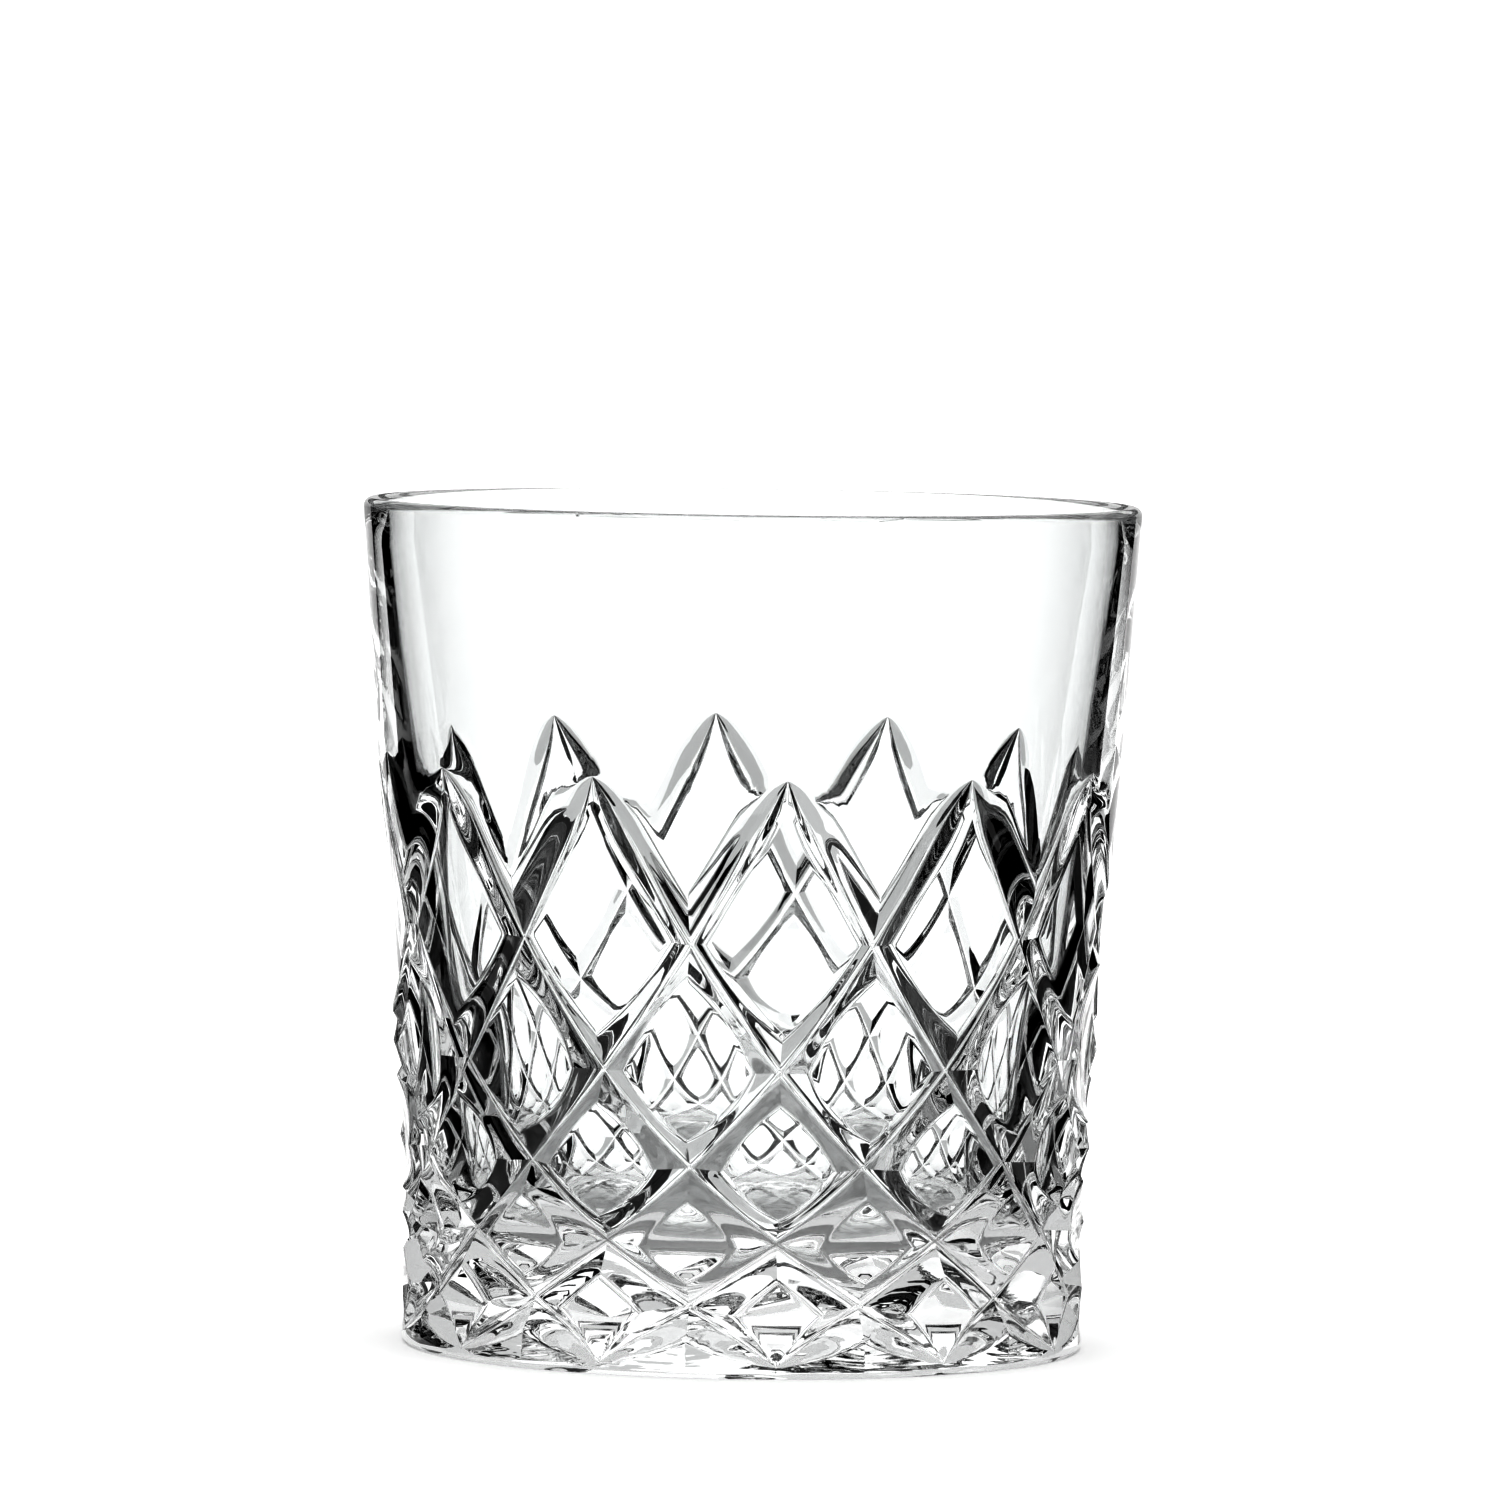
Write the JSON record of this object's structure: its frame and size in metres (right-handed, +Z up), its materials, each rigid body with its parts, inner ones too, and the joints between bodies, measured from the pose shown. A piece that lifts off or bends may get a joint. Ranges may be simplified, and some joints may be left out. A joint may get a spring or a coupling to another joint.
{
  "type": "whiskey tumbler",
  "caption": "Straight-sided whiskey tumbler of clear cut crystal with a heavy base, a plain upper wall and crossed V-grooves that leave diamond faces.",
  "frame": {"origin": "middle of the underside, in the plane of the resting ring", "axes": "+Z up along the axis of the glass; -Y towards the viewer of the reference picture"},
  "size_m": [0.0874, 0.0874, 0.095],
  "materials": {
    "crystal": "polished"
  },
  "bodies": {
    "root": {"crystal_body": "crystal"}
  },
  "joints": []
}
